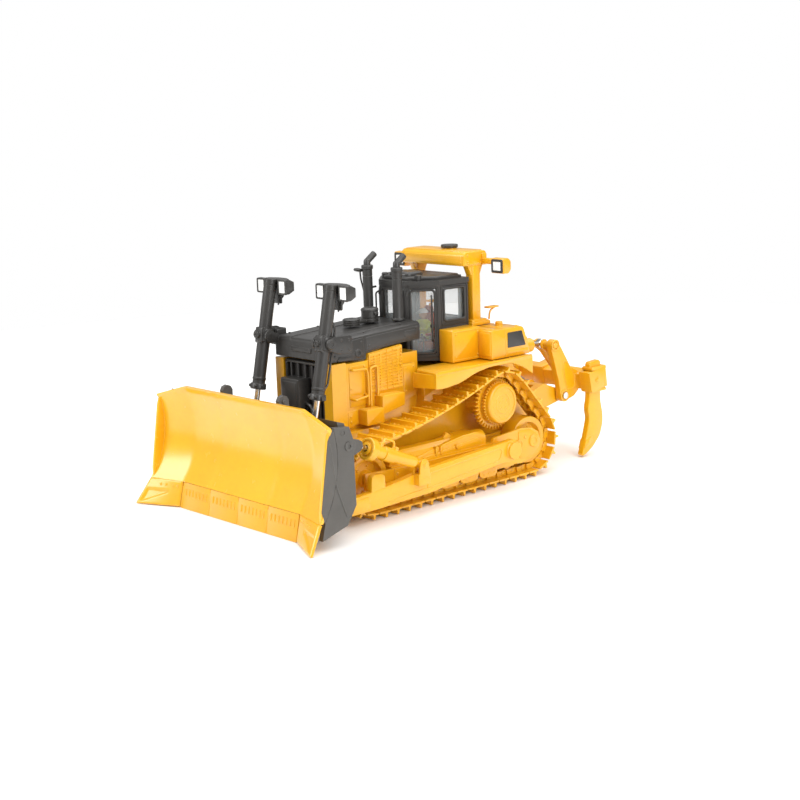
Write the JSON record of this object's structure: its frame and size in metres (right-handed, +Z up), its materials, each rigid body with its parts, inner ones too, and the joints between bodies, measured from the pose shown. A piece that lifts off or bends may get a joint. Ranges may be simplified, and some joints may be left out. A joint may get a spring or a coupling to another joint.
{
  "type": "toy bulldozer",
  "caption": "Diecast-style toy crawler bulldozer with a lifting blade, raised drive sprockets, cab and rear ripper.",
  "frame": {"origin": "centre of the bounding box on the ground plane, under the track grousers", "axes": "+Z up, +Y towards the rear (ripper), -Y towards the blade, +X towards the machine's left side"},
  "size_m": [0.0972, 0.1652, 0.0838],
  "materials": {
    "paint_yellow": "gloss",
    "paint_black": "satin",
    "bright_steel": "polished",
    "window_glass": "gloss",
    "seat_red": "matte",
    "work_clothes": "matte"
  },
  "bodies": {
    "chassis": {"chassis_frame": "paint_yellow", "radiator_grille": "paint_black", "hood": "paint_black", "engine_panel_left": "paint_yellow", "engine_panel_right": "paint_yellow", "exhaust_stack_left": "paint_black", "exhaust_stack_right": "paint_black", "precleaner": "paint_black", "cab_frame": "paint_black", "cab_glazing": "window_glass", "cab_console": "paint_black", "operator_seat": "seat_red", "operator_figure": "work_clothes", "rops_frame": "paint_yellow", "fender_left": "paint_yellow", "fender_right": "paint_yellow", "fuel_tank": "paint_yellow", "hydraulic_tank": "paint_yellow", "cylinder_yoke_left": "paint_black", "cylinder_yoke_right": "paint_black", "track_frame_left": "paint_yellow", "track_frame_right": "paint_yellow", "track_left": "paint_yellow", "track_right": "paint_yellow"},
    "push_arms": {"push_arm_left": "paint_yellow", "push_arm_right": "paint_yellow"},
    "blade": {"blade_moldboard": "paint_yellow", "blade_back": "paint_black", "cutting_edge": "paint_yellow", "end_bit_left": "paint_yellow", "end_bit_right": "paint_yellow"},
    "ripper_frame": {"ripper_frame": "paint_yellow"},
    "ripper_pivot_pin": {"ripper_pivot_pin": "bright_steel"},
    "ripper_beam": {"ripper_beam": "paint_yellow", "ripper_shank_left": "paint_yellow", "ripper_shank_right": "paint_yellow"},
    "lift_cylinder_left": {"lift_cylinder_left": "paint_black", "lamp_bracket_left": "paint_black"},
    "lift_rod_left": {"lift_rod_left": "bright_steel"},
    "tilt_cylinder_left": {"tilt_cylinder_left": "paint_yellow"},
    "tilt_rod_left": {"tilt_rod_left": "bright_steel"},
    "sprocket_left": {"sprocket_left": "paint_yellow"},
    "front_idler_left": {"front_idler_left": "paint_yellow"},
    "rear_idler_left": {"rear_idler_left": "paint_yellow"},
    "ripper_lift_cylinder_left": {"ripper_lift_cylinder_left": "paint_yellow"},
    "ripper_lift_rod_left": {"ripper_lift_rod_left": "bright_steel"},
    "ripper_tip_cylinder_left": {"ripper_tip_cylinder_left": "paint_yellow"},
    "ripper_tip_rod_left": {"ripper_tip_rod_left": "bright_steel"},
    "lift_cylinder_right": {"lift_cylinder_right": "paint_black", "lamp_bracket_right": "paint_black"},
    "lift_rod_right": {"lift_rod_right": "bright_steel"},
    "tilt_cylinder_right": {"tilt_cylinder_right": "paint_yellow"},
    "tilt_rod_right": {"tilt_rod_right": "bright_steel"},
    "sprocket_right": {"sprocket_right": "paint_yellow"},
    "front_idler_right": {"front_idler_right": "paint_yellow"},
    "rear_idler_right": {"rear_idler_right": "paint_yellow"},
    "ripper_lift_cylinder_right": {"ripper_lift_cylinder_right": "paint_yellow"},
    "ripper_lift_rod_right": {"ripper_lift_rod_right": "bright_steel"},
    "ripper_tip_cylinder_right": {"ripper_tip_cylinder_right": "paint_yellow"},
    "ripper_tip_rod_right": {"ripper_tip_rod_right": "bright_steel"}
  },
  "joints": [
    {"name": "blade_lift", "type": "hinge", "parent": "chassis", "child": "push_arms", "pos_m": [0, 0.0188, 0.0138], "axis": [-1, 0, 0], "range_deg": [-4, 11.5]},
    {"name": "blade_pitch", "type": "hinge", "parent": "push_arms", "child": "blade", "pos_m": [0, -0.0608, 0.008], "axis": [1, 0, 0], "range_deg": [-6, 6]},
    {"name": "ripper_lift", "type": "hinge", "parent": "chassis", "child": "ripper_frame", "pos_m": [0, 0.0517, 0.0245], "axis": [1, 0, 0], "range_deg": [-10, 33]},
    {"name": "ripper_level", "type": "hinge", "parent": "ripper_frame", "child": "ripper_pivot_pin", "pos_m": [0, 0.0666, 0.0238], "axis": [1, 0, 0], "range_deg": [-33.5, 10.5]},
    {"name": "ripper_pitch", "type": "hinge", "parent": "ripper_pivot_pin", "child": "ripper_beam", "pos_m": [0, 0.0666, 0.0238], "axis": [1, 0, 0], "range_deg": [-6, 10]},
    {"name": "lift_cylinder_left_swing", "type": "hinge", "parent": "chassis", "child": "lift_cylinder_left", "pos_m": [0.016, -0.0468, 0.058], "axis": [1, 0, 0], "range_deg": [-1.78, 0.81]},
    {"name": "lift_rod_left_slide", "type": "slide", "parent": "lift_cylinder_left", "child": "lift_rod_left", "axis": [0, -0.206, -0.9785], "range_m": [-0.0151, 0.0054]},
    {"name": "tilt_cylinder_left_swing", "type": "hinge", "parent": "push_arms", "child": "tilt_cylinder_left", "pos_m": [0.038, -0.0259, 0.0173], "axis": [1, 0, 0], "range_deg": [-0.62, 0.62]},
    {"name": "tilt_rod_left_slide", "type": "slide", "parent": "tilt_cylinder_left", "child": "tilt_rod_left", "axis": [0, -0.928, 0.3725], "range_m": [-0.0026, 0.0026]},
    {"name": "sprocket_left_spin", "type": "hinge", "parent": "chassis", "child": "sprocket_left", "pos_m": [0.0255, 0.0217, 0.0291], "axis": [1, 0, 0], "continuous": true},
    {"name": "front_idler_left_spin", "type": "hinge", "parent": "chassis", "child": "front_idler_left", "pos_m": [0.0255, -0.0408, 0.0133], "axis": [1, 0, 0], "continuous": true},
    {"name": "rear_idler_left_spin", "type": "hinge", "parent": "chassis", "child": "rear_idler_left", "pos_m": [0.0255, 0.0362, 0.0133], "axis": [1, 0, 0], "continuous": true},
    {"name": "ripper_lift_cylinder_left_swing", "type": "hinge", "parent": "chassis", "child": "ripper_lift_cylinder_left", "pos_m": [0.007, 0.0462, 0.0368], "axis": [1, 0, 0], "range_deg": [-2.41, 7.25]},
    {"name": "ripper_lift_rod_left_slide", "type": "slide", "parent": "ripper_lift_cylinder_left", "child": "ripper_lift_rod_left", "axis": [0, 0.8281, -0.5606], "range_m": [-0.0047, 0.0016]},
    {"name": "ripper_tip_cylinder_left_swing", "type": "hinge", "parent": "chassis", "child": "ripper_tip_cylinder_left", "pos_m": [0.012, 0.0467, 0.0443], "axis": [1, 0, 0], "range_deg": [-10.5, 33.5]},
    {"name": "ripper_tip_rod_left_slide", "type": "slide", "parent": "ripper_tip_cylinder_left", "child": "ripper_tip_rod_left", "axis": [0, 0.9989, -0.0469], "range_m": [-0.0036, 0.0023]},
    {"name": "lift_cylinder_right_swing", "type": "hinge", "parent": "chassis", "child": "lift_cylinder_right", "pos_m": [-0.016, -0.0468, 0.058], "axis": [1, 0, 0], "range_deg": [-1.78, 0.81]},
    {"name": "lift_rod_right_slide", "type": "slide", "parent": "lift_cylinder_right", "child": "lift_rod_right", "axis": [0, -0.206, -0.9785], "range_m": [-0.0151, 0.0054]},
    {"name": "tilt_cylinder_right_swing", "type": "hinge", "parent": "push_arms", "child": "tilt_cylinder_right", "pos_m": [-0.038, -0.0259, 0.0173], "axis": [1, 0, 0], "range_deg": [-0.62, 0.62]},
    {"name": "tilt_rod_right_slide", "type": "slide", "parent": "tilt_cylinder_right", "child": "tilt_rod_right", "axis": [0, -0.928, 0.3725], "range_m": [-0.0026, 0.0026]},
    {"name": "sprocket_right_spin", "type": "hinge", "parent": "chassis", "child": "sprocket_right", "pos_m": [-0.0255, 0.0217, 0.0291], "axis": [1, 0, 0], "continuous": true},
    {"name": "front_idler_right_spin", "type": "hinge", "parent": "chassis", "child": "front_idler_right", "pos_m": [-0.0255, -0.0408, 0.0133], "axis": [1, 0, 0], "continuous": true},
    {"name": "rear_idler_right_spin", "type": "hinge", "parent": "chassis", "child": "rear_idler_right", "pos_m": [-0.0255, 0.0362, 0.0133], "axis": [1, 0, 0], "continuous": true},
    {"name": "ripper_lift_cylinder_right_swing", "type": "hinge", "parent": "chassis", "child": "ripper_lift_cylinder_right", "pos_m": [-0.007, 0.0462, 0.0368], "axis": [1, 0, 0], "range_deg": [-2.41, 7.25]},
    {"name": "ripper_lift_rod_right_slide", "type": "slide", "parent": "ripper_lift_cylinder_right", "child": "ripper_lift_rod_right", "axis": [0, 0.8281, -0.5606], "range_m": [-0.0047, 0.0016]},
    {"name": "ripper_tip_cylinder_right_swing", "type": "hinge", "parent": "chassis", "child": "ripper_tip_cylinder_right", "pos_m": [-0.012, 0.0467, 0.0443], "axis": [1, 0, 0], "range_deg": [-10.5, 33.5]},
    {"name": "ripper_tip_rod_right_slide", "type": "slide", "parent": "ripper_tip_cylinder_right", "child": "ripper_tip_rod_right", "axis": [0, 0.9989, -0.0469], "range_m": [-0.0036, 0.0023]}
  ],
  "couplings": [
    {"joint": "ripper_level", "follows": "ripper_lift", "ratio": -1},
    {"joint": "lift_cylinder_left_swing", "follows": "blade_lift", "ratio": -0.12842},
    {"joint": "lift_rod_left_slide", "follows": "blade_lift", "m_per_rad": -0.073634},
    {"joint": "tilt_cylinder_left_swing", "follows": "blade_pitch", "ratio": 0.05329},
    {"joint": "tilt_rod_left_slide", "follows": "blade_pitch", "m_per_rad": 0.021611},
    {"joint": "front_idler_left_spin", "follows": "sprocket_left_spin", "ratio": 1.0198},
    {"joint": "rear_idler_left_spin", "follows": "sprocket_left_spin", "ratio": 1.0198},
    {"joint": "ripper_lift_cylinder_left_swing", "follows": "ripper_lift", "ratio": 0.21052},
    {"joint": "ripper_lift_rod_left_slide", "follows": "ripper_lift", "m_per_rad": -0.007641},
    {"joint": "ripper_tip_cylinder_left_swing", "follows": "ripper_lift", "ratio": 1},
    {"joint": "ripper_tip_rod_left_slide", "follows": "ripper_pitch", "m_per_rad": -0.018986},
    {"joint": "lift_cylinder_right_swing", "follows": "blade_lift", "ratio": -0.12842},
    {"joint": "lift_rod_right_slide", "follows": "blade_lift", "m_per_rad": -0.073634},
    {"joint": "tilt_cylinder_right_swing", "follows": "blade_pitch", "ratio": 0.05329},
    {"joint": "tilt_rod_right_slide", "follows": "blade_pitch", "m_per_rad": 0.021611},
    {"joint": "front_idler_right_spin", "follows": "sprocket_right_spin", "ratio": 1.0198},
    {"joint": "rear_idler_right_spin", "follows": "sprocket_right_spin", "ratio": 1.0198},
    {"joint": "ripper_lift_cylinder_right_swing", "follows": "ripper_lift", "ratio": 0.21052},
    {"joint": "ripper_lift_rod_right_slide", "follows": "ripper_lift", "m_per_rad": -0.007641},
    {"joint": "ripper_tip_cylinder_right_swing", "follows": "ripper_lift", "ratio": 1},
    {"joint": "ripper_tip_rod_right_slide", "follows": "ripper_pitch", "m_per_rad": -0.018986}
  ]
}
